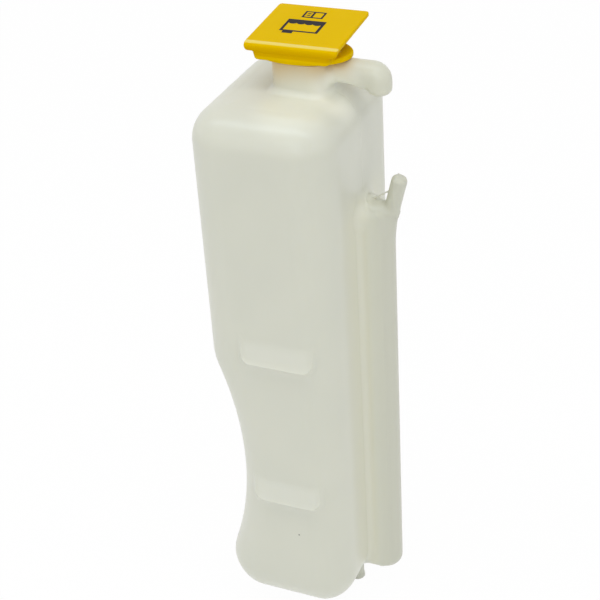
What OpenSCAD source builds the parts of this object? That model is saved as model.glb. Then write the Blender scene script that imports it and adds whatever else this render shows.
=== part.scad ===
// Coolant expansion tank: a blown plastic bottle with a side channel, and a
// push-in filler cap whose top plate folds back over it.
// Millimetres. X runs to the right seen from the front, Y to the back, Z up.
// The origin is on the axis of the locating peg, level with the underside.
// The two halves of the mould meet on the plane Y = 0.

/* [Bottle] */
// Width of the bottle
body_w = 80.6; // [76:0.2:92]
// Reach of the bottle in front of the parting plane
front_reach = 52.4; // [46:0.2:60]
// Reach of the bottle behind the parting plane
back_reach = 52; // [46:0.2:60]
// Height of the bottle from its underside to its shoulder
body_h = 331; // [310:1:350]
// Radius of the upright corners
corner_r = 22; // [18:0.5:26]
// Radius left at the corners where the rounded edges end
corner_end_r = 3; // [1:0.5:6]
// Radius of the edges round the shoulder
edge_r = 18.5; // [12:0.5:22]
// Radius of the edges round the underside
low_edge_r = 32; // [20:1:34]
// Rise of the top from the shoulder to the foot of the neck
crown_h = 1; // [0.5:0.5:4]
// Thickness of the blown wall
wall = 2.2; // [1.6:0.1:3]

/* [Scallop in the left side] */
// Height of the deepest point of the scallop
scallop_z = 106; // [104:1:120]
// Depth of the scallop below the side
scallop_depth = 13.3; // [6:0.1:14]
// Radius of the scallop's arc
scallop_r = 207; // [150:1:210]
// How softly the scallop runs into the side
scallop_ease = 2; // [0.5:0.5:4]
// Length of side above the scallop's end that is still shaped with it
scallop_margin = 10; // [4:1:20]

/* [Level marks] */
// Height of the sharp edge of the upper mark
mark_high_z = 186.5; // [160:0.5:210]
// Height of the sharp edge of the lower mark
mark_low_z = 90.3; // [70:0.5:120]
// Length of each mark
mark_w = 42.5; // [30:0.5:46]
// Distance from the channel side to the middle of the marks
mark_inset = 33.7; // [32:0.1:36]
// Height of the slope above the edge
mark_h = 14; // [8:1:20]
// Height of the return below the edge
mark_return_h = 5; // [2:0.5:8]
// How far the edge stands out of the front face
mark_proud = 2.4; // [1:0.2:4]
// How far the mark reaches back into the front corners
mark_root = 5; // [4:0.5:6]
// Radius of the mark's ends seen from the front
mark_end_r = 4; // [1:0.5:6]

/* [Neck] */
// Distance from the channel side to the neck's axis
neck_inset = 30.5; // [28:0.5:40]
// Outside radius of the neck
neck_r = 16.5; // [15:0.1:17]
// Height of the neck's rim above the crown
neck_h = 17.5; // [17:0.5:24]
// Radius of the hollow where the neck meets the crown
neck_foot_r = 4; // [1:0.5:5]

/* [Overflow spout] */
// Outside radius of the spout
spout_r = 6.5; // [5.5:0.1:6.6]
// Reach of the drooping end's axis beyond the channel side
spout_reach = 11.1; // [9:0.1:20]
// Depth of the spout's axis below the neck's rim
spout_drop = 6.8; // [6.8:0.1:8]
// Radius of the bend along the spout's axis
spout_bend_r = 3.4; // [2:0.1:5]
// Length of the drooping end below the bend
spout_leg = 7.6; // [6:0.2:12]
// Radius round the drooping end
spout_end_r = 3.5; // [1:0.5:4]
// Radius of the hole in the drooping end
spout_mouth_r = 2.8; // [1.5:0.1:3]

/* [Side channel] */
// Reach of the channel beyond the side of the bottle
channel_reach = 17.5; // [14:0.1:24]
// Half depth of the channel
channel_half_d = 10.5; // [9.5:0.5:16]
// Radius of the hollow between the channel and the side
channel_foot_r = 4; // [2:0.5:5]
// Height of the channel's lowest point
channel_low_z = 11; // [8:0.5:20]
// Height of the channel's upper end
channel_top_z = 270; // [230:1:280]
// Radius of the channel's lower end
channel_low_r = 9; // [6:0.5:9]
// Radius of the channel's upper end
channel_top_r = 8; // [5:0.5:9]
// Height of the passage between channel and bottle
passage_h = 10; // [6:0.5:16]
// Width of the passage from front to back
passage_w = 12; // [6:0.5:14]

/* [Hose nipple] */
// Outside radius of the nipple's free end, where the hose goes on
nipple_r = 4.2; // [4:0.05:4.4]
// Outside radius of the nipple's root, up to the thin tie
nipple_root_r = 4.5; // [4.5:0.05:4.8]
// Radius round the nipple's tip
nipple_tip_r = 1.2; // [0.4:0.1:1.4]
// Radius of the nipple's bore
nipple_bore_r = 2.7; // [1.5:0.1:2.7]
// Length of the nipple above its collar
nipple_len = 22.2; // [16:0.1:30]
// Lean of the nipple away from the bottle, in degrees
nipple_lean = 14.3; // [8:0.1:20]
// Depth of the collar's middle below the channel's upper end
nipple_sink = 6.3; // [4:0.1:7]
// Distance from the side of the bottle to the middle of the collar
nipple_out = 15.7; // [14:0.1:16]
// How far the collar stands out of the nipple's root
collar_proud = 0.3; // [0.2:0.1:1]
// Thickness of the collar
collar_t = 2; // [1:0.2:4]
// Height of the thin tie above the channel's upper end
tie_up = 5; // [3:0.5:10]
// Thickness of the thin tie
tie_t = 1; // [0.8:0.1:1.5]

/* [Locating peg] */
// Distance from the channel side to the peg's axis
peg_inset = 12.9; // [12:0.1:20]
// Radius of the peg
peg_r = 4.4; // [3.5:0.1:6]
// Length of the peg below the underside
peg_len = 7; // [4:0.5:14]
// Radius round the peg's lower end
peg_end_r = 1.25; // [0.5:0.25:2]
// Height above the underside where the peg's root begins to widen
peg_root_up = 3; // [1:0.5:5]
// How far the peg's root widens
peg_root_flare = 0.3; // [0.1:0.1:1]

/* [Cap] */
// Width of the cap's top plate
plate_w = 51; // [46:0.5:56]
// Length of the top plate behind the front fold
plate_d = 46; // [40:0.5:52]
// Slope of the top plate, up to the back, in degrees
plate_slope = 4; // [0:0.5:8]
// Thickness of the cap's plate and riser
cap_t = 2.2; // [1.8:0.1:2.6]
// Radius of the plate's corners
plate_corner_r = 2.5; // [1:0.5:5]
// Height of the front fold above the flange
fold_h = 7.2; // [7:0.1:12]
// Radius of the front fold
fold_r = 3; // [2.8:0.1:3.5]
// Height of the lip below the fold
lip_h = 1.6; // [0.5:0.1:2]
// How far the fold and its lip stand in front of the riser
lip_proud = 0.8; // [0.5:0.1:2]
// Width of the riser between the flange and the plate
riser_w = 43; // [36:0.5:45]
// Length of the riser's cheeks from front to back
riser_d = 16; // [10:0.5:20]
// Width of the oval flange that sits on the neck's rim
flange_w = 54.4; // [50:0.2:60]
// Depth of the oval flange
flange_d = 34; // [33:0.5:44]
// Thickness of the flange
flange_t = 3; // [2:0.1:4]
// Length of the plug below the flange
plug_len = 9; // [6:0.5:12]
// Thickness of the plug's wall
plug_t = 2; // [1.4:0.1:3]
// Gap between the plug and the neck's bore
plug_gap = 0.3; // [0.2:0.05:0.5]

/* [Smoothness] */
// Steps round each upright corner of the bottle
corner_steps = 7; // [4:1:9]
// Levels in each rounded edge of the bottle
edge_steps = 6; // [4:1:9]
// Levels along the scalloped stretch
scallop_steps = 18; // [12:1:26]

/* [Hidden] */
$fn = 64;

// Places that follow from the sizes above
right_x = peg_inset;
left_x = right_x - body_w;
neck_x = right_x - neck_inset;
rim_z = body_h + crown_h + neck_h;
neck_bore_r = neck_r - wall;
spout_z = rim_z - spout_drop;
bend_x = right_x + spout_reach - spout_bend_r;
bend_z = spout_z - spout_bend_r;
nipple_x = right_x + nipple_out;
nipple_z = channel_top_z - nipple_sink;
tie_z = channel_top_z + tie_up;
nipple_root_len = (tie_z + tie_t - nipple_z) / cos(nipple_lean);
scallop_half_h = sqrt(pow(scallop_r, 2) - pow(scallop_r - scallop_depth, 2));
scallop_end_z = min(scallop_z + scallop_half_h + scallop_margin, body_h - 2 * edge_r);
passage_z = low_edge_r * 0.7;
flange_top_z = rim_z + flange_t;
// How far solids that join reach into each other
bite = 0.6;

// The larger of two values, with a soft change-over of size k
function soft_max(a, b, k) =
    let (h = max(k - abs(a - b), 0))
    max(a, b) + h * h / (4 * k);

// X of the scalloped side at height z
function side_x(z) =
    let (
        off = min(abs(z - scallop_z), scallop_r),
        arc = left_x + scallop_depth - scallop_r + sqrt(pow(scallop_r, 2) - pow(off, 2))
    )
    soft_max(left_x, arc, scallop_ease);

// A level ring round the bottle at height z, drawn in from its sides
// towards an edge of the given radius
function body_ring(z, draw_in, edge) =
    let (
        r = corner_r - draw_in * (corner_r - corner_end_r) / edge,
        x0 = side_x(z) + draw_in + r,
        x1 = right_x - draw_in - r,
        y0 = -front_reach + draw_in + r,
        y1 = back_reach - draw_in - r,
        turns = [[x1, y0, 270], [x1, y1, 0], [x0, y1, 90], [x0, y0, 180]]
    )
    [for (t = turns) for (k = [0:corner_steps])
        let (a = t[2] + 90 * k / corner_steps)
        [t[0] + r * cos(a), t[1] + r * sin(a), z]];

// Rings of the rounded underside, t inside the outside
function low_rings(t) =
    let (r = low_edge_r - t)
    [for (k = [0:edge_steps])
        let (a = 90 * k / edge_steps)
        body_ring(t + r * (1 - cos(a)), t + r * (1 - sin(a)), low_edge_r)];

// Rings up the sides, the scalloped stretch included
function side_rings(t) =
    let (rise = scallop_end_z - low_edge_r)
    [for (k = [1:scallop_steps])
        body_ring(low_edge_r + rise * k / scallop_steps, t, edge_r)];

// Rings of the rounded shoulder
function shoulder_rings(t) =
    let (r = edge_r - t, z = body_h - edge_r)
    [for (k = [0:edge_steps])
        let (a = 90 * k / edge_steps)
        body_ring(z + r * sin(a), t + r * (1 - cos(a)), edge_r)];

// Rings that close the top in a low crown round the neck's axis
function crown_rings(ring) =
    [for (s = [0.25, 0.5, 0.75])
        [for (p = ring)
            [p[0] + (neck_x - p[0]) * s, p[1] * (1 - s),
             p[2] + crown_h * (1 - pow(1 - s, 2))]]];

// A closed skin through a list of rings, from the lowest to the highest
module skin(rings) {
    n = len(rings[0]);
    last = len(rings) - 1;
    points = [for (ring = rings) each ring];
    lowest = [for (i = [0:n - 1]) i];
    highest = [for (i = [n - 1:-1:0]) last * n + i];
    sides = [for (k = [0:last - 1]) for (i = [0:n - 1])
        let (a = k * n + i, b = k * n + (i + 1) % n)
        each [[a, a + n, b + n], [a, b + n, b]]];
    polyhedron(points, concat([lowest], sides, [highest]));
}

// The body of the bottle, t inside its outside
module body_skin(t) {
    rings = concat(low_rings(t), side_rings(t), shoulder_rings(t));
    skin(concat(rings, crown_rings(rings[len(rings) - 1])));
}

// X of the channel side of the bottle at height z, drawn in near the underside
function wall_x(z) =
    let (below = max(low_edge_r - z, 0))
    right_x - low_edge_r + sqrt(pow(low_edge_r, 2) - pow(below, 2));

// A level ring round the channel at height z, drawn in from its outside
function channel_ring(z, draw_in) =
    let (
        foot_x = wall_x(z),
        reach = right_x + channel_reach - draw_in - foot_x,
        half_d = channel_half_d - draw_in,
        foot = channel_foot_r,
        front = concat(
            [[-bite, -half_d - foot]],
            [for (k = [1:3])
                let (a = 22.5 * k)
                [foot * (1 - cos(a)), -half_d - foot * (1 - sin(a))]],
            [for (k = [0:8])
                let (a = 11.25 * k)
                [foot + (reach - foot) * sin(a), -half_d * cos(a)]]
        ),
        back = [for (k = [len(front) - 2:-1:0]) [front[k][0], -front[k][1]]]
    )
    [for (p = concat(front, back)) [foot_x + p[0], p[1], z]];

// The channel, t inside its outside, with both ends rounded
module channel_skin(t) {
    low_r = channel_low_r - t;
    top_r = channel_top_r - t;
    turns = [for (k = [0:5]) 18 * k];
    low = [for (a = turns)
        channel_ring(channel_low_z + t + low_r * (1 - cos(a)), t + low_r * (1 - sin(a)))];
    top = [for (a = turns)
        channel_ring(channel_top_z - channel_top_r + top_r * sin(a), t + top_r * (1 - cos(a)))];
    skin(concat(low, top));
}

// The hollow of the channel, outside the bottle's own wall
module channel_space() {
    intersection() {
        channel_skin(wall);
        translate([right_x + bite, -channel_half_d, channel_low_z])
            cube([channel_reach, 2 * channel_half_d, channel_top_z - channel_low_z]);
    }
}

// The way through the bottle's wall at the foot of the channel
module passage() {
    translate([right_x - 3 * wall, -passage_w / 2, passage_z])
        cube([3 * wall + channel_foot_r, passage_w, passage_h]);
}

// A rectangle with round corners, centred
module round_rect(w, h, r) {
    square([w - 2 * r, h], center = true);
    square([w, h - 2 * r], center = true);
    for (x = [-1, 1])
        for (y = [-1, 1])
            translate([x * (w / 2 - r), y * (h / 2 - r)])
                circle(r);
}

// A level mark: a slope that grows out of the front face and turns back below
module level_mark(edge_z) {
    top_z = edge_z + mark_h;
    low_z = edge_z - mark_return_h;
    intersection() {
        translate([right_x - mark_inset - mark_w / 2, -front_reach, 0])
            rotate([90, 0, 90])
                linear_extrude(mark_w)
                    polygon([
                        [0, top_z],
                        [-mark_proud, edge_z],
                        [0, low_z],
                        [mark_root, low_z],
                        [mark_root, top_z]
                    ]);
        translate([right_x - mark_inset, 0, (top_z + low_z) / 2])
            rotate([90, 0, 0])
                linear_extrude(front_reach + 2 * mark_proud)
                    round_rect(mark_w, top_z - low_z, mark_end_r);
    }
}

// The neck's outside, with a small hollow round its foot
module neck_outside() {
    root_z = body_h - 2 * wall;
    foot_z = body_h + crown_h / 2;
    translate([neck_x, 0, 0])
        rotate_extrude()
            polygon(concat(
                [[0, root_z], [neck_r + neck_foot_r, root_z]],
                [for (k = [0:5])
                    let (a = 18 * k)
                    [neck_r + neck_foot_r * (1 - sin(a)), foot_z + neck_foot_r * (1 - cos(a))]],
                [[neck_r, rim_z], [0, rim_z]]
            ));
}

// The spout's level run and its bend, at radius r
module spout_run(r) {
    translate([neck_x, 0, spout_z])
        rotate([0, 90, 0])
            cylinder(r = r, h = bend_x - neck_x);
    translate([bend_x, 0, bend_z])
        rotate([90, 0, 0])
            rotate_extrude(angle = 90)
                intersection() {
                    translate([spout_bend_r, 0])
                        circle(r);
                    translate([0, -r])
                        square([spout_bend_r + r, 2 * r]);
                }
}

// The spout's drooping end at radius r, with a rounded lower edge
module spout_end(r, leg, end_r) {
    translate([bend_x + spout_bend_r, 0, bend_z - leg])
        rotate_extrude()
            polygon(concat(
                [[0, leg], [0, 0]],
                [for (k = [0:6])
                    let (a = 15 * k)
                    [r - end_r * (1 - sin(a)), end_r * (1 - cos(a))]],
                [[r, leg]]
            ));
}

module spout_outside() {
    spout_run(spout_r);
    spout_end(spout_r, spout_leg, spout_end_r);
}

module spout_inside() {
    spout_run(spout_r - wall);
    spout_end(spout_r - wall, spout_leg - wall, max(spout_end_r - wall, bite));
    translate([bend_x + spout_bend_r, 0, bend_z - spout_leg - bite])
        cylinder(r = spout_mouth_r, h = spout_leg);
}

// Moves its children onto the nipple's axis, with the collar's middle at zero
module on_nipple() {
    translate([nipple_x, 0, nipple_z])
        rotate([0, nipple_lean, 0])
            children();
}

module nipple_outside() {
    on_nipple()
        rotate_extrude()
            polygon(concat(
                [
                    [0, -channel_reach / 2],
                    [nipple_root_r, -channel_reach / 2],
                    [nipple_root_r, -collar_t / 2],
                    [nipple_root_r + collar_proud, -collar_t / 2],
                    [nipple_root_r + collar_proud, collar_t / 2],
                    [nipple_root_r, collar_t / 2],
                    [nipple_root_r, nipple_root_len],
                    [nipple_r, nipple_root_len]
                ],
                [for (k = [0:5])
                    let (a = 18 * k)
                    [nipple_r - nipple_tip_r * (1 - cos(a)), nipple_len - nipple_tip_r * (1 - sin(a))]],
                [[0, nipple_len]]
            ));
    // Thin tie from the side of the bottle to the nipple's root
    translate([right_x - bite, -tie_t / 2, tie_z])
        cube([nipple_out + (nipple_sink + tie_up) * tan(nipple_lean) + bite, tie_t, tie_t]);
}

module nipple_bore() {
    on_nipple()
        translate([0, 0, -channel_reach / 2])
            cylinder(r = nipple_bore_r, h = channel_reach / 2 + nipple_len + bite);
}

// The locating peg, with a round lower edge and a root that widens into the underside
module peg() {
    root_z = low_edge_r / 3;
    rotate_extrude()
        polygon(concat(
            [[0, -peg_len]],
            [for (k = [0:5])
                let (a = 18 * k)
                [peg_r - peg_end_r * (1 - sin(a)), -peg_len + peg_end_r * (1 - cos(a))]],
            [[peg_r, peg_root_up], [peg_r + peg_root_flare, root_z], [0, root_z]]
        ));
}

module tank() {
    color([0.83, 0.83, 0.76])
        difference() {
            union() {
                body_skin(0);
                channel_skin(0);
                neck_outside();
                spout_outside();
                nipple_outside();
                level_mark(mark_high_z);
                level_mark(mark_low_z);
                peg();
            }
            body_skin(wall);
            channel_space();
            passage();
            translate([neck_x, 0, body_h - 2 * wall])
                cylinder(r = neck_bore_r, h = rim_z);
            spout_inside();
            nipple_bore();
        }
}

// Side view of the cap's plate, front fold and lip, from the fold's centre
module plate_profile() {
    rotate(plate_slope)
        translate([0, fold_r - cap_t])
            square([plate_d, cap_t]);
    rotate(plate_slope)
        intersection() {
            difference() {
                circle(fold_r);
                circle(fold_r - cap_t);
            }
            translate([-fold_r, -bite])
                square([fold_r + bite, fold_r + bite]);
        }
    translate([-fold_r, -lip_h])
        square([cap_t, lip_h + bite]);
}

// Side view of the riser, drop below the middle of the plate's thickness
module riser_profile(start, drop) {
    end = riser_d;
    rise = tan(plate_slope);
    polygon([
        [start, -bite],
        [end, -bite],
        [end, fold_h - cap_t / 2 - drop + (end - fold_r) * rise],
        [start, fold_h - cap_t / 2 - drop + (start - fold_r) * rise]
    ]);
}

// The riser: a front wall and two cheeks, open to the back
module riser() {
    inner_w = riser_w - 2 * cap_t;
    difference() {
        translate([-riser_w / 2, 0, 0])
            rotate([90, 0, 90])
                linear_extrude(riser_w)
                    riser_profile(0, 0);
        translate([-inner_w / 2, 0, bite])
            rotate([90, 0, 90])
                linear_extrude(inner_w)
                    translate([bite, 0])
                        riser_profile(cap_t, cap_t);
    }
}

module cap() {
    front_y = -flange_d / 2;
    plug_r = neck_bore_r - plug_gap;
    color([0.9, 0.73, 0.05])
        translate([neck_x, 0, 0]) {
            // Top plate with its front fold and lip
            intersection() {
                translate([-plate_w / 2, front_y + fold_r, flange_top_z + fold_h - fold_r])
                    rotate([90, 0, 90])
                        linear_extrude(plate_w)
                            plate_profile();
                translate([0, front_y + (fold_r + plate_d) / 2, rim_z])
                    linear_extrude(fold_h + plate_d)
                        round_rect(plate_w, fold_r + plate_d, plate_corner_r);
            }
            translate([0, front_y + lip_proud, flange_top_z])
                riser();
            // Oval flange
            translate([0, 0, rim_z])
                linear_extrude(flange_t)
                    polygon([for (k = [0:59])
                        [flange_w / 2 * cos(6 * k), flange_d / 2 * sin(6 * k)]]);
            // Hollow plug
            translate([0, 0, rim_z - plug_len])
                difference() {
                    cylinder(r = plug_r, h = plug_len + bite);
                    translate([0, 0, -bite])
                        cylinder(r = plug_r - plug_t, h = plug_len + bite);
                }
        }
}

tank();
cap();
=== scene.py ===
import math

import bpy
import numpy as np
from mathutils import Matrix


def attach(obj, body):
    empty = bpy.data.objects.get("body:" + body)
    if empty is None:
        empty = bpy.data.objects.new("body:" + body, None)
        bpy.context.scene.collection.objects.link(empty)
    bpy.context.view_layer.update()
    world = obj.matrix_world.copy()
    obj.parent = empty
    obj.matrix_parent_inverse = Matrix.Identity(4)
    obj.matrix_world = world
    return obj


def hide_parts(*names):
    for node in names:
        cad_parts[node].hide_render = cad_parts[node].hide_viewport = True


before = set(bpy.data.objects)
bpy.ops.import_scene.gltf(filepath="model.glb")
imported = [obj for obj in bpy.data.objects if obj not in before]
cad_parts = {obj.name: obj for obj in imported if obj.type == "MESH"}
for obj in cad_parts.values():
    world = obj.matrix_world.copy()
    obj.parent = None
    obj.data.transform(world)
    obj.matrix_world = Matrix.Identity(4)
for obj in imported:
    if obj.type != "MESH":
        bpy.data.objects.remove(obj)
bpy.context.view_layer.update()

# Lengths are in millimetres, and become metres where a mesh or a mask is made
MM = 0.001
TINY = 1e-6

# Bottle: the parting plane is y = 0, and the channel side is on the right
RIGHT_X = 12.9
LEFT_X = -67.7
FRONT_Y = -52.4
BACK_Y = 52.0
BODY_H = 331.0
CORNER_R = 22.0
CORNER_EASE = 6.0
SHOULDER_R = 18.5
UNDERSIDE_R = 32.0
CROWN_H = 1.0
CROWN_REACH = 12.0

# Room inside: its cutting shapes run a little past each opening
WALL = 2.2
ROOM_FILLET_R = 0.5
CUT_PAST = 4.0

# Bead that the mould's halves leave, which fades out on the channel
BEAD_H = 0.12
BEAD_HALF_W = 0.45
BEAD_END_X = 25.0
BEAD_FADE = 3.0

# Scallop in the left side
SCALLOP_Z = 106.0
SCALLOP_DEPTH = 13.3
SCALLOP_R = 207.0
SCALLOP_EASE = 2.0

# Level marks on the front face: a leaning plate, a lip at its edge, and a return below it
MARK_EDGES_Z = (186.5, 90.3)
MARK_X = -20.8
MARK_W = 42.5
MARK_H = 14.0
MARK_PROUD = 2.8
MARK_LIP_SHARE = 0.28
MARK_LIP_POWER = 6
MARK_RETURN = 3.2
MARK_CORNER_R = 6.0
MARK_CURL_SHARE = 0.9
MARK_FADE = 3.0

# Neck and overflow spout: the neck's outside is a rounded square, and its bore is round
NECK_X = -17.6
NECK_LEFT_X = -31.2
NECK_RIGHT_X = -2.2
NECK_HALF_D = 14.8
NECK_CORNER_R = 7.0
NECK_EASE = 3.0
NECK_FOOT_R = 4.0
NECK_SUNK = 6.0
BORE_R = 12.6
BORE_FOOT_R = 1.2
RIM_Z = 349.5
RIM_EDGE_R = 0.5
SPOUT_Z = 342.7
SPOUT_R = 6.5
SPOUT_BEND_R = 3.4
SPOUT_LEG_X = 24.0
SPOUT_END_Z = 331.8
SPOUT_END_R = 3.5
SPOUT_END_ROOM = 2.0
SPOUT_MOUTH_R = 2.8
SPOUT_FILLET_R = 5.5
SPOUT_FILLET_LEAST_R = 0.8
SAG_FROM = (9.5, 342.3)
SAG_TO = (23.3, 338.4)
SAG_R = 6.15
SAG_BLEND = 1.6

# Side channel, with a fillet at its foot that grows towards its top
CHANNEL_OUT_X = 30.4
CHANNEL_ROOT_X = 4.0
CHANNEL_ROOM_X = 13.5
CHANNEL_HALF_D = 10.5
CHANNEL_FOOT_R = 4.0
CHANNEL_TOP_FOOT_R = 8.0
CHANNEL_FOOT_GROWS_Z = (254.0, 266.0)
CHANNEL_LOW_Z = 11.0
CHANNEL_TOP_Z = 270.0
CHANNEL_LOW_R = 9.0
CHANNEL_TOP_R = 9.5

# Passage between bottle and channel, low down
PASSAGE_X = (5.9, 16.9)
PASSAGE_Z = (22.4, 32.4)
PASSAGE_HALF_D = 6.0
PASSAGE_R = 2.0
PASSAGE_FILLET_R = 0.8

# Hose nipple and the thin tie beside it
NIPPLE_X = 28.6
NIPPLE_Z = 263.7
NIPPLE_LEAN = math.radians(14.3)
NIPPLE_LEN = 22.9
NIPPLE_ROOT = 16.0
NIPPLE_R = 4.3
NIPPLE_TIP_R = 2.8
NIPPLE_TIP_T = 1.0
NIPPLE_FOOT_R = 2.5
NIPPLE_BORE_R = 2.7
NIPPLE_BORE_ROOT = 8.0
COLLAR_H = 0.4
COLLAR_AT = 1.0
COLLAR_HALF_W = 1.2
TIE_FROM = (16.5, 268.8)
TIE_TO = (28.6, 277.0)
TIE_R = 0.4
TIE_FOOT_R = 0.4

# Locating peg
PEG_R = 4.2
PEG_LOW_R = 4.7
PEG_LOW_Z = -7.0
PEG_ROOT_Z = 12.0
PEG_FLARE_Z = -3.0
PEG_FLARE_H = 2.0
PEG_EDGE_R = 1.2
PEG_FOOT_R = 1.0

# Cap: the plate, fold and lip are one strip, and widths and depths are counted from the neck's axis
CAP_T = 2.2
PLATE_HALF_W = 25.5
PLATE_LEN = 46.0
PLATE_SLOPE = math.radians(4.0)
PLATE_CORNER_R = 2.5
PLATE_EDGE_R = 0.5
FOLD_R = 3.0
FOLD_Y = -14.0
FOLD_Z = 356.7
STRIP_R = FOLD_R - CAP_T / 2
STRIP_FRONT_Y = FOLD_Y - FOLD_R - 6
STRIP_BACK_Y = FOLD_Y + PLATE_LEN - 0.1
STRIP_TOP_Z = FOLD_Z + 20
LIP_H = 1.6
LIP_CORNER_R = 2.6
LIP_EDGE_R = 0.7
FLANGE_HALF_W = 27.2
FLANGE_HALF_D = 17.0
FLANGE_T = 3.0
FLANGE_EDGE_R = 1.0
FLANGE_FILLET_R = 0.5
RISER_HALF_W = 22.0
RISER_TAPER = 0.24
RISER_TAPER_H = 6.0
RISER_FRONT_Y = -16.9
RISER_BACK_Y = -0.2
RISER_OPEN_Y = 30.0
RISER_LOW_Z = RIM_Z + 1.2
RISER_CORNER_R = 3.0
RISER_INNER_R = 1.5
RISER_INNER_EDGE_R = 0.3
RISER_BACK_EDGE_R = 0.8
RISER_LOW_EDGE_R = 0.7
RISER_FILLET_R = 0.8
PLUG_R = 12.3
PLUG_LEN = 9.0
PLUG_T = 2.0
PLUG_SUNK = 1.0
PLUG_EDGE_R = 0.8
PLUG_HOLLOW_R = 1.0
PLUG_LIP_R = 0.4
PLUG_FILLET_R = 0.6

# Print on the plate: left, front, right and back of each box, from the neck's axis and from the fold
PRINT_T = 0.06
PRINT_SUNK = 0.05
LEVEL_LEFT = -11.3
WAVE_ALONG = 24.6
WAVE_COUNT = 4
WAVE_PITCH = 4.5
WAVE_DEPTH = 1.5
WAVE_T = 1.8 * PRINT_T
CREST_SIDES = 24
VESSEL_BOXES = (
    (-12.8, 14.4, 8.3, 15.7), (-12.8, 15.7, LEVEL_LEFT, 28.3), (6.7, 15.7, 8.3, 28.3),
    (-10.6, 12.1, -4.9, 14.4), (LEVEL_LEFT, WAVE_ALONG, 6.7, 28.3),
)
BOOKLET_BOXES = (
    (-7.3, 31.4, 4.4, 32.4), (-7.3, 38.0, 4.4, 39.0), (-7.3, 32.4, -6.2, 38.0), (3.3, 32.4, 4.4, 38.0),
    (-2.6, 32.4, -1.4, 38.0), (-5.3, 35.8, -3.4, 36.7), (-5.3, 33.8, -3.4, 34.7),
)

# Grid lines of each mesh along x, y and z: (start, step) pairs and a last line, finer at small features
TANK_GRID = (
    ((-69.6, 2.4), (-47, 1.3), (-37, 3.0), (-4, 1.3), (13, 0.9), 40.4),
    ((-57, 1.3), (-48, 3.0), (-16, 1.2), (-2.8, 0.4), (2.8, 1.2), (16, 3.0), (48, 1.5), 55),
    (
        (-8.3, 0.9), (2, 2.2), (34, 3.0), (83, 0.45), (92, 1.4), (106, 3.0), (179, 0.45), (188.5, 1.4),
        (202, 3.0), (246, 1.2), (266.5, 0.45), (278, 0.9), (287, 2.4), (311, 1.5), (329, 0.75), 351,
    ),
)
ROOM_GRID = (
    ((-67.6, 4.0), (-37, 1.5), 42),
    ((-52, 4.0), (-16, 1.5), (16, 4.0), 53),
    ((0, 4.0), (250, 1.5), (300, 3.0), (325, 1.2), 355),
)
CAP_GRID = (
    ((-46, 0.6), 11),
    ((-18, 0.6), 33),
    ((340, 0.7), (349, 0.4), 364),
)
LEAST_SLOPE = 0.05
LONGEST_MOVE = 1.0

# Screen colours of the materials, each a pair that a noise goes between, and how rough the plastics are
MILKY = ((216, 216, 201), (209, 210, 196))
YELLOW = ((223, 185, 0), (217, 178, 0))
INK = ((16, 12, 20), (34, 26, 30))
WHITE = ((252, 252, 252), (249, 249, 248))
MILKY_ROUGH = (0.25, 0.39)
YELLOW_ROUGH = (0.15, 0.25)
MOTTLE_REACH = (-1.0, 2.0)

# Tints of the milky plastic, most of them painted light and shade: a screen colour, its strength, and the
# lengths between which each mask fades in, where off_plane is out from the parting plane, off_mark sideways
# from a mark's middle and from_neck in plan
# Painted light: the warm yellow cast that the cap throws on the neck, strongest just under it
PAINTED_CAP_CAST = (
    (211, 182, 122), 0.9, (("z", 331, 352), ("x", 16, 0), ("from_neck", 12.5, 13.8), ("z", 349.8, 349)),
)
SEAM_TINT = ((204, 203, 180), 0.35, (("x", 12.5, 18), ("off_plane", 13, 6)))
# Painted shade on the channel's outer side, below its top
PAINTED_CHANNEL_SHADE = ((196, 196, 181), 0.6, (("x", 18, 29), ("z", 310, 290)))
# Painted light over the channel's upper end beside the bottle, where it would lie in shade
PAINTED_CHANNEL_TOP_LIGHT = (
    (224, 223, 204), 0.7, (("x", 10.5, 12.8), ("x", 21, 16), ("off_plane", 42, 16), ("z", 285, 262)),
)
# Painted light on each level mark's plate, which leans up towards the light
PAINTED_MARK_LIGHTS = tuple(
    ((222, 223, 211), 0.5, (
        ("z", edge_z - 0.6, edge_z), ("z", edge_z + 17, edge_z + 9),
        ("off_mark", 22.5, 16.5), ("y", -45, -51),
    ))
    for edge_z in MARK_EDGES_Z
)

# Round patches, painted light on the crown and in the nook and a real dark speck: a screen colour, its
# strength, the middle, and the distances between which it fades in
# Painted light on the crown in front of the neck, where the cap's shade falls
PAINTED_CROWN_LIGHT = ((227, 228, 212), 0.9, (-12, -30, 333), (26, 7.8))
# Painted light in the nook between neck and spout, which would lie in shade
PAINTED_NOOK_LIGHT = ((234, 234, 219), 0.9, (3, -8, 332), (19, 5.7))
SPECK = ((70, 62, 45), 1.0, (-14.9, -52.4, 66.9), (0.6, 0.25))

# Tints of the yellow plastic: painted shade on riser and lip between flange and plate, and a painted
# highlight along the fold
# Painted shade on the cap's sides between flange and plate
PAINTED_CAP_SHADE = ((203, 158, 0), 0.8, (("z", 359.4, 356), ("z", 352.2, 353.2)))
# Where the fold has a glossier coat and, over it, a painted highlight
FOLD_SHINE = (("y", -13.3, -14.1), ("z", 358.9, 359.3))
# Painted highlight: a pale line along the fold's top
PAINTED_FOLD_HIGHLIGHT = ((229, 209, 97), 0.9, FOLD_SHINE)

# Skin of moulded plastic: the reach of its bumps, and a slow waviness under the fine grain
GRAIN_DEPTH = 0.1
WAVY_SCALE = 60.0
WAVY_SHARE = 3.0

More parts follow.
